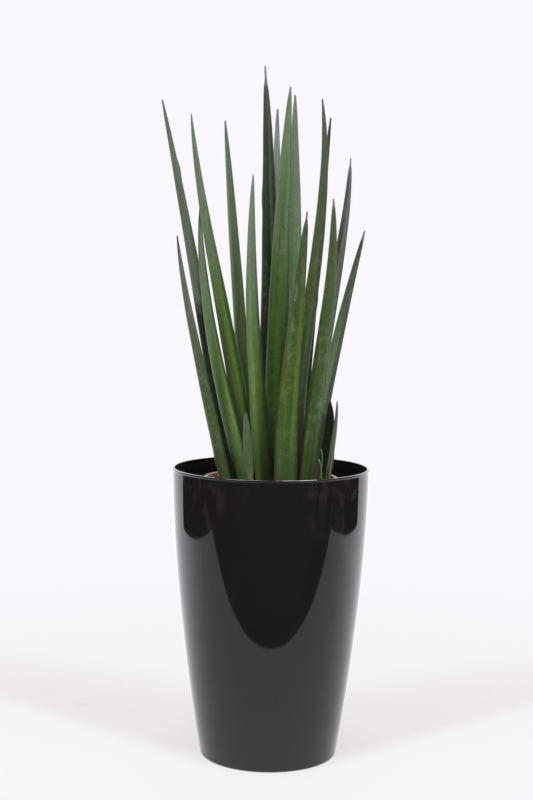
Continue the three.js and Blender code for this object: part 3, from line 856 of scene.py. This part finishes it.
# How each full-grown leaf looks. Lengths run along the leaf, and shares run from 0 to 1.
# low, high      colour low down and high up; rise is where, as shares, one turns into the other
# foot           colour at the soil, which fades out over foot_reach; on the back leaves
#                it is painted shade
# tip            colour of the dry tip; dry is the length of that tip
# strip          a strip down the front (from, to, colour): partly own colour, partly painted
#                shade and light; strip_top is how much of it is left near the tip
# margin         the firm edges (colour, share)
# bloom          how much chalky bloom lies on it
# fill           how far the channel is filled: 0 is hollow, 1 is round
# horn           a thin, horny end (length, radius)
# slim           a foot that starts at a share of its width (height, share)
# bumps          swellings on its edges (height, side, how far they stand out, length)
LEAF_LOOKS = {
    "leaf_01": {"low": (0.041, 0.070, 0.020, 1), "high": (0.084, 0.102, 0.073, 1),
                "tip": (0.060, 0.060, 0.050, 1), "dry": 24 * MM,
                "margin": (BROWN_EDGE, 0.5), "bloom": 0.35,
                "bumps": [(34 * MM, -1, 1.6 * MM, 14 * MM)]},
    # leaf_02's near-black low colour, below its rise, is painted shade: its lower half stands in
    # shadow behind the leaves in front.
    "leaf_02": {"low": (0.008, 0.016, 0.008, 1), "high": (0.089, 0.118, 0.075, 1),
                "rise": (0.44, 0.56), "foot": FOOT_PAINTED_SHADE, "bloom": 0.06,
                "bumps": [(462 * MM, 1, 1.7 * MM, 16 * MM)]},
    "leaf_03": {"low": (0.090, 0.166, 0.033, 1), "high": (0.107, 0.147, 0.092, 1),
                "tip": (0.040, 0.055, 0.035, 1), "dry": 26 * MM,
                "margin": (PALE_EDGE, 0.55), "bloom": 0.3, "fill": 0.85},
    "leaf_04": {"low": (0.069, 0.138, 0.019, 1), "high": (0.109, 0.145, 0.087, 1),
                "foot": FOOT_PAINTED_SHADE, "foot_reach": 150 * MM,
                "strip": (0.0, 0.24, (0.115, 0.145, 0.046, 1)), "bloom": 0.25, "fill": 0.8},
    "leaf_05": {"low": (0.182, 0.294, 0.108, 1), "high": (0.134, 0.179, 0.116, 1),
                "foot": FOOT_PAINTED_SHADE, "foot_reach": 200 * MM, "bloom": 0.3},
    "leaf_06": {"low": (0.078, 0.137, 0.028, 1), "high": (0.135, 0.174, 0.122, 1),
                "strip": (0.82, 1.0, (0.057, 0.096, 0.026, 1)), "bloom": 0.3, "fill": 0.9},
    # leaf_07's near-black colours are partly its own dark green and partly painted shade in its
    # channel.
    "leaf_07": {"low": (0.010, 0.020, 0.008, 1), "high": (0.033, 0.044, 0.025, 1),
                "foot": FOOT_PAINTED_SHADE, "foot_reach": 150 * MM, "dry": 30 * MM,
                "strip": (0.55, 1.0, (0.016, 0.033, 0.009, 1)), "strip_top": 1.0,
                "margin": (BROWN_EDGE, 0.6), "bloom": 0.15, "horn": (36 * MM, 1.9 * MM),
                "bumps": [(424 * MM, -1, 1.3 * MM, 9 * MM), (411 * MM, -1, 1.0 * MM, 6 * MM)]},
    "leaf_08": {"low": (0.130, 0.210, 0.130, 1), "high": (0.190, 0.245, 0.210, 1),
                "rise": (0.4, 0.8), "tip": (0.170, 0.148, 0.146, 1), "dry": 30 * MM,
                "bloom": 0.5},
    "leaf_09": {"low": (0.033, 0.073, 0.012, 1), "high": (0.104, 0.143, 0.074, 1),
                "foot": FOOT_PAINTED_SHADE, "foot_reach": 120 * MM,
                "strip": (0.36, 0.62, (0.045, 0.102, 0.013, 1)), "strip_top": 0.0,
                "bloom": 0.15, "fill": 0.25},
    "leaf_10": {"low": (0.091, 0.207, 0.050, 1), "high": (0.127, 0.159, 0.117, 1),
                "foot": FOOT_PAINTED_SHADE, "foot_reach": 150 * MM, "bloom": 0.45},
    "leaf_11": {"low": (0.043, 0.081, 0.010, 1), "high": (0.036, 0.057, 0.020, 1),
                "tip": (0.090, 0.075, 0.060, 1), "dry": 22 * MM,
                "strip": (0.68, 0.94, (0.070, 0.120, 0.020, 1)), "strip_top": 0.0,
                "margin": (BROWN_EDGE, 0.35), "bloom": 0.35, "fill": 0.75,
                "horn": (18 * MM, 1.3 * MM)},
    "leaf_12": {"low": (0.046, 0.083, 0.014, 1), "high": (0.049, 0.070, 0.036, 1),
                "tip": (0.075, 0.075, 0.060, 1), "dry": 18 * MM,
                "strip": (0.76, 1.0, (0.026, 0.042, 0.011, 1)), "bloom": 0.25, "fill": 0.7,
                "bumps": [(266 * MM, 1, 1.4 * MM, 22 * MM)]},
    "leaf_13": {"low": (0.023, 0.030, 0.015, 1), "high": (0.036, 0.041, 0.028, 1),
                "foot": FOOT_PAINTED_SHADE, "foot_reach": 200 * MM, "tip": (0.090, 0.085, 0.070, 1),
                "bloom": 0.2},
    "leaf_14": {"low": (0.010, 0.022, 0.008, 1), "high": (0.047, 0.054, 0.038, 1),
                "dry": 20 * MM, "strip": (0.5, 1.0, (0.099, 0.115, 0.089, 1)),
                "strip_top": 1.0, "margin": (BROWN_EDGE, 0.4), "bloom": 0.3, "fill": 0.6,
                "horn": (16 * MM, 1.2 * MM)},
    "leaf_15": {"low": (0.034, 0.064, 0.011, 1), "high": (0.045, 0.076, 0.024, 1),
                "strip": (0.76, 0.96, (0.067, 0.104, 0.030, 1)), "bloom": 0.3, "fill": 0.75},
    "leaf_16": {"low": (0.087, 0.141, 0.054, 1), "high": (0.033, 0.044, 0.028, 1),
                "strip": (0.62, 0.95, (0.057, 0.072, 0.050, 1)), "strip_top": 1.0,
                "bloom": 0.3},
}


def add_leaf(node, look):
    """Makes one leaf's piece, which stands for its solid."""
    node_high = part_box(node)[1]
    material = leaf_material(node, look, node_high.z - soil_edge_z)
    piece = make_piece(node + "_skin", leaf_mesh(node, look), material)
    smoother = piece.modifiers.new("smooth", "SUBSURF")
    smoother.levels = 1
    smoother.render_levels = 1
    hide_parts(node)


for number, (node, look) in enumerate(LEAF_LOOKS.items()):
    add_leaf(node, {"seed": 3.7 * number, **look})


# ---- Young shoots ----------------------------------------------------------------------------
# Leaves of new shoots at the foot of the clump, thinner than the old ones and mostly paler at
# the base, and two dry papery scales that once wrapped the shoot at the right.

PUP_LOOKS = {
    "pup_leaf_pale": {"low": (0.058, 0.091, 0.025, 1), "high": (0.055, 0.090, 0.053, 1),
                      "foot": (0.160, 0.200, 0.070, 1), "foot_reach": 35 * MM,
                      "tip": (0.070, 0.100, 0.060, 1), "dry": 3 * MM,
                      "strip": (0.44, 0.56, (0.061, 0.102, 0.032, 1)),
                      "margin": ((0.150, 0.200, 0.130, 1), 0.5), "bloom": 0.3, "fill": 0.2,
                      "slim": (55 * MM, 0.5)},
    # The dark shoot's near-black colour is painted shade in its channel, which faces the front.
    "pup_leaf_dark": {"low": (0.012, 0.022, 0.012, 1), "high": (0.010, 0.020, 0.012, 1),
                      "foot": (0.030, 0.050, 0.015, 1), "foot_reach": 30 * MM,
                      "tip": (0.020, 0.030, 0.020, 1), "dry": 3 * MM,
                      "margin": (PALE_EDGE, 0.08), "bloom": 0.05},
    "pup_leaf_grey": {"low": (0.119, 0.158, 0.080, 1), "high": (0.123, 0.138, 0.118, 1),
                      "rise": (0.4, 0.85), "foot": (0.120, 0.160, 0.045, 1),
                      "foot_reach": 28 * MM, "dry": 6 * MM,
                      "margin": (PALE_EDGE, 0.4), "bloom": 0.4},
    "pup_scale_front": {"low": (0.100, 0.130, 0.060, 1), "high": (0.130, 0.160, 0.085, 1),
                        "foot": (0.100, 0.070, 0.040, 1), "foot_reach": 8 * MM,
                        "tip": (0.210, 0.230, 0.140, 1), "dry": 7 * MM, "bloom": 0.4},
    "pup_scale_back": {"low": (0.060, 0.090, 0.035, 1), "high": (0.100, 0.130, 0.065, 1),
                       "foot": (0.080, 0.060, 0.035, 1), "foot_reach": 8 * MM,
                       "tip": (0.200, 0.220, 0.130, 1), "dry": 7 * MM, "bloom": 0.4},
}
for number, (node, look) in enumerate(PUP_LOOKS.items()):
    add_leaf(node, {"seed": 91.0 + 5.3 * number, **look})


# ---- Studio ----------------------------------------------------------------------------------
# A pale floor that runs out to white, a white surround behind and a dark room in front, which
# the planter mirrors, and soft boxes overhead.

FLOOR_SIZE = 6.0
BACKDROP_WHITE = (0.945, 0.935, 0.985, 1)
PAPER_WHITE = (0.925, 0.910, 0.935, 1)
PAPER_SHADE = (0.820, 0.765, 0.768, 1)
ROOM_DARK = (0.020, 0.014, 0.012, 1)
ROOM_BROWN = (0.27, 0.19, 0.165, 1)
MIRRORED_WALL = (1.45, 1.45, 1.52, 1)
MIRRORED_PAPER = (0.84, 0.82, 0.83, 1)
MIRRORED_CEILING = (0.7, 0.7, 0.72, 1)
PAPER_BARE = (0.86, 0.85, 0.86, 1)
PAPER_FRONT = -0.497     # where the paper ends in front of the planter
PAPER_TILT = 0.034       # its front edge runs a little askew
PAPER_LEFT = -1.41
PAPER_RIGHT = 1.49
BACKDROP_SLOPE = 0.62    # the lit backdrop starts this far back for each metre sideways


def stage_object(name, bm, material):
    """Something that stands round the plant and isn't part of it."""
    mesh = bpy.data.meshes.new(name)
    bm.to_mesh(mesh)
    bm.free()
    mesh.materials.append(material)
    thing = bpy.data.objects.new(name, mesh)
    bpy.context.scene.collection.objects.link(thing)


def emission(tree, colour):
    """A surface that shows a colour as it is, whatever the light."""
    return add_node(tree, "ShaderNodeEmission", {"Color": colour, "Strength": 1.0}).outputs[0]


def mix_shader(tree, share, first, second):
    """The first surface, with a share of the second mixed in."""
    return add_node(tree, "ShaderNodeMixShader", {0: share, 1: first, 2: second}).outputs[0]


def paper_mask(tree, x, y):
    """1 on the lit paper and backdrop, 0 in the dark room around their edge."""
    front = calc(tree, "SUBTRACT", y, calc(tree, "MULTIPLY_ADD", x, PAPER_TILT, PAPER_FRONT))
    sides = calc(tree, "MINIMUM", calc(tree, "SUBTRACT", PAPER_RIGHT, x),
                 calc(tree, "SUBTRACT", x, PAPER_LEFT))
    behind = calc(tree, "SUBTRACT", y,
                  calc(tree, "MULTIPLY", calc(tree, "ABSOLUTE", x), BACKDROP_SLOPE))
    inside = calc(tree, "MAXIMUM", calc(tree, "MINIMUM", front, sides), behind)
    return ramp(tree, inside, -0.004, 0.008)


def room_tone(tree, x, y):
    """The dark room, with faint brown upright shapes at its two sides."""
    flat = add_node(tree, "ShaderNodeCombineXYZ", {"X": x, "Y": y}).outputs[0]
    heading = add_node(tree, "ShaderNodeVectorMath", operation="NORMALIZE",
                       inputs={0: flat}).outputs[0]
    reach = add_node(tree, "ShaderNodeVectorMath", operation="LENGTH",
                     inputs={0: flat}).outputs["Value"]
    lift = add_node(tree, "ShaderNodeCombineXYZ",
                    {"Z": calc(tree, "MULTIPLY", reach, 0.30)}).outputs[0]
    lifted = add_node(tree, "ShaderNodeVectorMath", operation="ADD",
                      inputs={0: heading, 1: lift}).outputs[0]
    shapes = noise_value(tree, lifted, 4.6, detail=3.0, shift=(2.3, 0.4, 1.1))
    aside = ramp(tree, calc(tree, "ABSOLUTE", x), 0.7, 1.5, 0.12, 1.0)
    share = calc(tree, "MULTIPLY", ramp(tree, shapes, 0.52, 0.64), aside)
    return blend_colour(tree, share, ROOM_DARK, ROOM_BROWN)


def floor_material():
    """White paper that fades into the lit backdrop, with a soft shade behind the planter."""
    material = bpy.data.materials.new("floor_paper")
    material.use_nodes = True
    tree = material.node_tree
    tree.nodes.clear()
    output = tree.nodes.new("ShaderNodeOutputMaterial")
    path = tree.nodes.new("ShaderNodeLightPath")
    place = object_place(tree)
    parts = add_node(tree, "ShaderNodeSeparateXYZ", {"Vector": place})
    x, y = parts.outputs["X"], parts.outputs["Y"]

    # The shade is a blunt V behind the planter, weaker further away, and lightly scuffed.
    spread = calc(tree, "SQRT", calc(tree, "MULTIPLY_ADD", x, x, 0.04 ** 2))
    shade_front = calc(tree, "SUBTRACT", y, calc(tree, "MULTIPLY_ADD", spread, 0.87, -0.135))
    away = calc(tree, "SQRT", calc(tree, "ADD", calc(tree, "MULTIPLY", x, x),
                                   calc(tree, "MULTIPLY", y, y)))
    shade_back = calc(tree, "SUBTRACT", y, calc(tree, "MULTIPLY", spread, 0.55))
    shade = calc(tree, "MULTIPLY", ramp(tree, shade_front, -0.035, 0.05),
                 ramp(tree, shade_back, 0.42, 0.10))
    shade = calc(tree, "MULTIPLY", shade, ramp(tree, away, 0.10, 0.24, 1.0, 0.68))
    shade = calc(tree, "MULTIPLY", shade, ramp(tree, away, 0.3, 0.95, 1.0, 0.6))
    creases = noise_value(tree, place, 14, detail=6.0, roughness=0.75, stretch=(1.0, 2.6, 1))
    scuffs = calc(tree, "MULTIPLY", ramp(tree, creases, 0.56, 0.66, 0.0, 0.5), shade)
    shade = calc(tree, "ADD", shade, scuffs)
    tone = blend_colour(tree, shade, PAPER_WHITE, PAPER_SHADE)
    tone = blend_colour(tree, ramp(tree, away, 0.75, 1.6), tone, BACKDROP_WHITE)

    # The camera sees the paper, the gloss mirrors the paper and the room, and all other light
    # meets plain paper.
    paper = add_node(tree, "ShaderNodeBsdfDiffuse", {"Color": PAPER_BARE}).outputs[0]
    seen = mix_shader(tree, ramp(tree, away, 0.9, 0.3, 0.0, 0.14), emission(tree, tone), paper)
    mirrored_white = blend_colour(tree, ramp(tree, y, -0.45, 0.6), MIRRORED_PAPER,
                                  MIRRORED_WALL)
    mirrored = blend_colour(tree, paper_mask(tree, x, y), room_tone(tree, x, y), mirrored_white)
    surface = mix_shader(tree, path.outputs["Is Camera Ray"], paper, seen)
    surface = mix_shader(tree, path.outputs["Is Glossy Ray"], surface, emission(tree, mirrored))
    tree.links.new(surface, output.inputs["Surface"])
    return material


floor_bm = bmesh.new()
bmesh.ops.create_grid(floor_bm, x_segments=1, y_segments=1, size=FLOOR_SIZE)
stage_object("floor", floor_bm, floor_material())


def build_world():
    """White to the camera, a lit white wall behind and a dark room in front to reflections,
    and an even soft light to everything else."""
    world = bpy.data.worlds.new("studio")
    bpy.context.scene.world = world
    world.use_nodes = True
    tree = world.node_tree
    tree.nodes.clear()
    output = tree.nodes.new("ShaderNodeOutputWorld")
    path = tree.nodes.new("ShaderNodeLightPath")
    seen = add_node(tree, "ShaderNodeBackground", {"Color": BACKDROP_WHITE, "Strength": 1.0})
    direction = tree.nodes.new("ShaderNodeTexCoord").outputs["Generated"]
    parts = add_node(tree, "ShaderNodeSeparateXYZ", {"Vector": direction})
    x, y, z = parts.outputs["X"], parts.outputs["Y"], parts.outputs["Z"]
    behind = calc(tree, "SUBTRACT", y,
                  calc(tree, "MULTIPLY", calc(tree, "ABSOLUTE", x), BACKDROP_SLOPE))
    mirror_tone = blend_colour(tree, ramp(tree, behind, -0.01, 0.02), ROOM_DARK,
                               MIRRORED_WALL)
    mirror_tone = blend_colour(tree, ramp(tree, z, 0.35, 0.8), mirror_tone, MIRRORED_CEILING)
    mirrored = add_node(tree, "ShaderNodeBackground", {"Color": mirror_tone, "Strength": 1.0})
    sky = ramp(tree, z, -0.1, 0.9, 0.35, 1.0)
    lit_tone = blend_colour(tree, sky, (0, 0, 0, 1), (1, 1, 1, 1))
    lit = add_node(tree, "ShaderNodeBackground", {"Color": lit_tone, "Strength": 0.42})
    first = mix_shader(tree, path.outputs["Is Glossy Ray"], lit.outputs[0], mirrored.outputs[0])
    second = mix_shader(tree, path.outputs["Is Camera Ray"], first, seen.outputs[0])
    tree.links.new(second, output.inputs["Surface"])


build_world()


PLANT_MIDDLE = Vector((0, 0, 0.6))


def soft_box(name, place, size, power):
    """A white soft box that points at the middle of the plant."""
    light = bpy.data.lights.new(name, "AREA")
    light.shape = "RECTANGLE"
    light.size, light.size_y = size
    light.energy = power
    lamp = bpy.data.objects.new(name, light)
    lamp.location = place
    lamp.rotation_euler = (PLANT_MIDDLE - Vector(place)).to_track_quat("-Z", "Y").to_euler()
    bpy.context.scene.collection.objects.link(lamp)
    return lamp


soft_box("soft_box_left", (-1.5, -1.5, 2.3), (0.9, 0.9), 20)
soft_box("soft_box_right", (1.6, -1.4, 2.2), (0.9, 0.9), 20)
soft_box("soft_box_top", (0.0, 0.3, 2.8), (1.6, 1.6), 14)

# Fills that light the leaves and don't show in the gloss.
for name, place, power in (("front_fill", (0.2, -2.9, 1.2), 20),
                           ("side_fill_left", (-2.1, -1.9, 1.3), 26),
                           ("side_fill_right", (2.2, -1.8, 1.3), 28),
                           ("back_fill", (0.3, 2.6, 1.6), 14)):
    soft_box(name, place, (1.5, 1.5), power).visible_glossy = False

# Lamps that only draw the bright line along the planter's bead.
for name, place, power in (("rim_glint_right", (0.56, 0.3, 2.6), 80),
                           ("rim_glint_left", (-0.55, 0.3, 2.6), 24)):
    soft_box(name, place, (0.6, 0.9), power).visible_diffuse = False

# The camera stands a little above the planter's mouth and looks slightly down.
CAMERA_PLACE = (0, -2.2, 0.715)
CAMERA_PITCH = 4.82
CAMERA_YAW = 0.20
CAMERA_ROLL = 0.64
CAMERA_LENS = 67.4
camera_data = bpy.data.cameras.new("camera")
camera_data.lens = CAMERA_LENS
camera_data.sensor_width = 36
camera = bpy.data.objects.new("camera", camera_data)
camera.location = CAMERA_PLACE
camera.rotation_euler = (
    Matrix.Rotation(math.radians(CAMERA_YAW), 3, "Z")
    @ Matrix.Rotation(math.radians(90 - CAMERA_PITCH), 3, "X")
    @ Matrix.Rotation(math.radians(CAMERA_ROLL), 3, "Z")).to_euler()
bpy.context.scene.collection.objects.link(camera)
bpy.context.scene.camera = camera
bpy.context.scene.view_settings.view_transform = "Standard"
